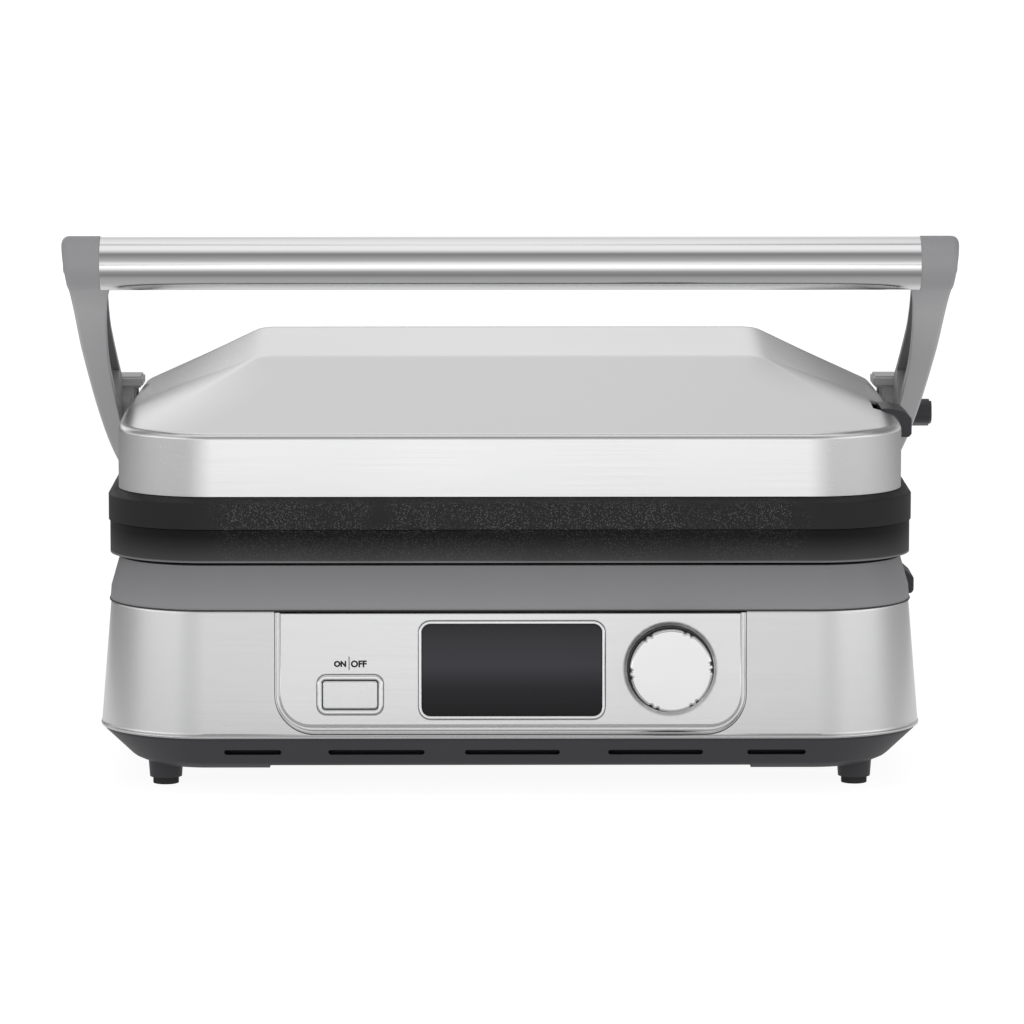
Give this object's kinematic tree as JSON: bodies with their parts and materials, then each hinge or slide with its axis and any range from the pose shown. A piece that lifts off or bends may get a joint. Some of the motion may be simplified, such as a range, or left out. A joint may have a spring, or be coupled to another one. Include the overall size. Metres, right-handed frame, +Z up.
{
  "type": "electric indoor grill with hinged lid",
  "caption": "Countertop contact grill: brushed steel base and lid, cast plates, tube handle on two curved arms, display, knob and power button, opening flat.",
  "frame": {"origin": "middle of the footprint on the counter, under the feet", "axes": "+Z up, -Y towards the control panel, +X to the right as seen from the front"},
  "size_m": [0.3475, 0.336, 0.215],
  "materials": {
    "brushed_steel": "brushed sideways, satin",
    "handle_steel": "fine brushed round the tube's length, bright",
    "grey_plastic": "moulded, satin metallic grey",
    "black_plastic": "moulded, fine texture",
    "rubber_pads": "matt",
    "coated_plate": "die-cast with a dark speckled non-stick coating",
    "bright_trim": "bright satin",
    "display_glass": "black glass, glossy",
    "display_module": "moulded",
    "circuit_board": "solder mask",
    "steel_parts": "zinc plated",
    "bronze_bush": "sintered",
    "reflector_sheet": "aluminised sheet",
    "element_tube": "oxidised steel tube",
    "terminal_plastic": "moulded"
  },
  "bodies": {
    "base": {"base_pan": "black_plastic", "foot_front_left": "rubber_pads", "foot_front_right": "rubber_pads", "foot_rear_left": "rubber_pads", "foot_rear_right": "rubber_pads", "steel_skirt": "brushed_steel", "panel_carrier": "grey_plastic", "control_panel": "brushed_steel", "display_rim_frame": "bright_trim", "display_window": "display_glass", "lcd_module": "display_module", "power_button_frame": "bright_trim", "power_switch": "black_plastic", "rotary_encoder": "steel_parts", "control_board": "circuit_board", "power_board": "circuit_board", "terminal_block": "terminal_plastic", "cord_gland": "black_plastic", "deck": "grey_plastic", "lower_reflector": "reflector_sheet", "lower_heater": "element_tube", "lower_probe": "steel_parts", "lower_plate": "coated_plate", "lower_plate_clips": "steel_parts", "drip_chute": "reflector_sheet", "case_screws": "steel_parts", "hinge_post_left": "grey_plastic", "hinge_post_right": "grey_plastic", "hinge_pin_left": "steel_parts", "hinge_pin_right": "steel_parts"},
    "power_button": {"power_button": "bright_trim"},
    "knob_press": {"encoder_plunger": "steel_parts"},
    "knob": {"selector_spindle": "steel_parts", "selector_knob": "bright_trim", "knob_ring": "black_plastic"},
    "lower_release": {"lower_release_button": "black_plastic"},
    "drip_tray": {"drip_tray": "black_plastic"},
    "arms": {"arm_left": "grey_plastic", "arm_right": "grey_plastic", "arm_liner_left": "black_plastic", "arm_liner_right": "black_plastic", "handle_tube": "handle_steel", "tube_plug_left": "black_plastic", "tube_plug_right": "black_plastic", "handle_screws": "steel_parts", "hinge_bush_left": "bronze_bush", "hinge_bush_right": "bronze_bush", "pivot_pin_left": "steel_parts", "pivot_pin_right": "steel_parts"},
    "hinge_lever": {"hinge_lever": "black_plastic"},
    "lid": {"lid_shell": "brushed_steel", "lid_frame": "black_plastic", "upper_reflector": "reflector_sheet", "upper_heater": "element_tube", "upper_probe": "steel_parts", "upper_plate": "coated_plate", "upper_plate_clips": "steel_parts", "pivot_bracket_left": "steel_parts", "pivot_bracket_right": "steel_parts"},
    "upper_release": {"upper_release_button": "black_plastic"}
  },
  "joints": [
    {"name": "arm_hinge", "type": "hinge", "parent": "base", "child": "arms", "pos_m": [0, 0.13, 0.1024], "axis": [-1, 0, 0], "range_deg": [0, 178]},
    {"name": "lid_pivot", "type": "hinge", "parent": "arms", "child": "lid", "pos_m": [0, 0.028, 0.133], "axis": [-1, 0, 0], "range_deg": [0, 2]},
    {"name": "knob_push", "type": "slide", "parent": "base", "child": "knob_press", "axis": [0, 0.9965, -0.083], "range_m": [0, 0.0006], "stiffness_N_per_m": 900},
    {"name": "knob_turn", "type": "hinge", "parent": "knob_press", "child": "knob", "pos_m": [0.0612, -0.15787, 0.04961], "axis": [0, -0.9965, 0.083], "continuous": true},
    {"name": "power_button_press", "type": "slide", "parent": "base", "child": "power_button", "axis": [0, 0.9965, -0.083], "range_m": [0, 0.001], "stiffness_N_per_m": 600},
    {"name": "lower_release_press", "type": "slide", "parent": "base", "child": "lower_release", "axis": [-1, 0, 0], "range_m": [0, 0.003], "stiffness_N_per_m": 800},
    {"name": "upper_release_press", "type": "slide", "parent": "lid", "child": "upper_release", "axis": [-1, 0, 0], "range_m": [0, 0.003], "stiffness_N_per_m": 800},
    {"name": "hinge_lever_slide", "type": "slide", "parent": "arms", "child": "hinge_lever", "axis": [0, -0.9476, 0.3194], "range_m": [0, 0.006], "stiffness_N_per_m": 500},
    {"name": "drip_tray_slide", "type": "slide", "parent": "base", "child": "drip_tray", "axis": [0, 1, 0], "range_m": [0, 0.11]}
  ],
  "couplings": [
    {"joint": "lid_pivot", "follows": "arm_hinge", "ratio": 0.01123}
  ]
}
